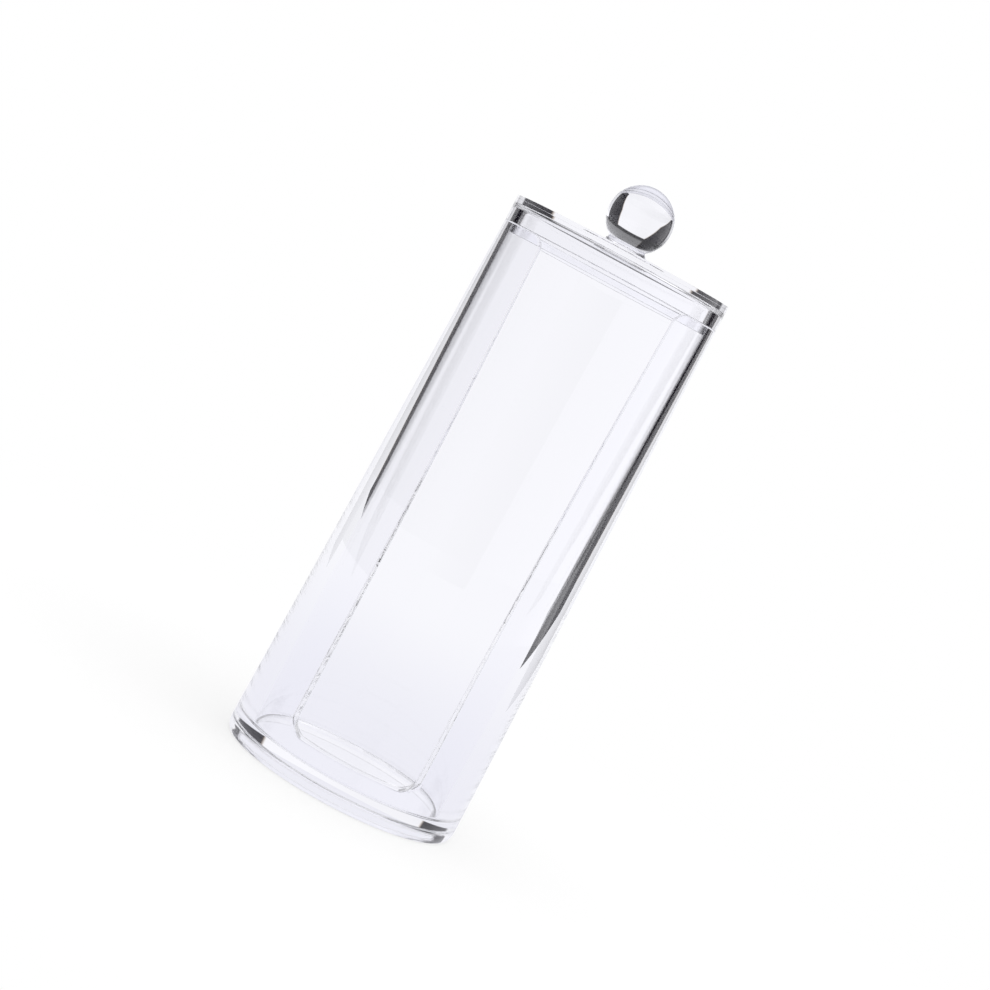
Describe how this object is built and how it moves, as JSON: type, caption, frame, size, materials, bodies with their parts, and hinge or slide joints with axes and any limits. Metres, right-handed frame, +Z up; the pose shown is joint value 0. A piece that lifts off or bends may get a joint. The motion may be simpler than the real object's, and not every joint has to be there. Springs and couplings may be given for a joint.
{
  "type": "cotton swab holder",
  "caption": "Clear plastic cylinder with a tall open slot in its front wall for taking cotton swabs, closed by a lift-off lid with a ball knob.",
  "frame": {"origin": "centre of the underside of the cup, on the surface it stands on", "axes": "+Z up along the cylinder's axis, -Y towards the front where the slot is, +X to the right seen from the front"},
  "size_m": [0.0736, 0.0736, 0.195],
  "materials": {
    "cup_plastic": "clear polished injection-moulded plastic",
    "lid_plastic": "clear polished injection-moulded plastic",
    "knob_plastic": "clear polished solid plastic"
  },
  "bodies": {
    "cup": {"body": "cup_plastic"},
    "lid": {"lid": "lid_plastic", "knob": "knob_plastic"}
  },
  "joints": [
    {"name": "lid_lift", "type": "slide", "parent": "cup", "child": "lid", "axis": [0, 0, 1], "range_m": [0, 0.05]}
  ]
}
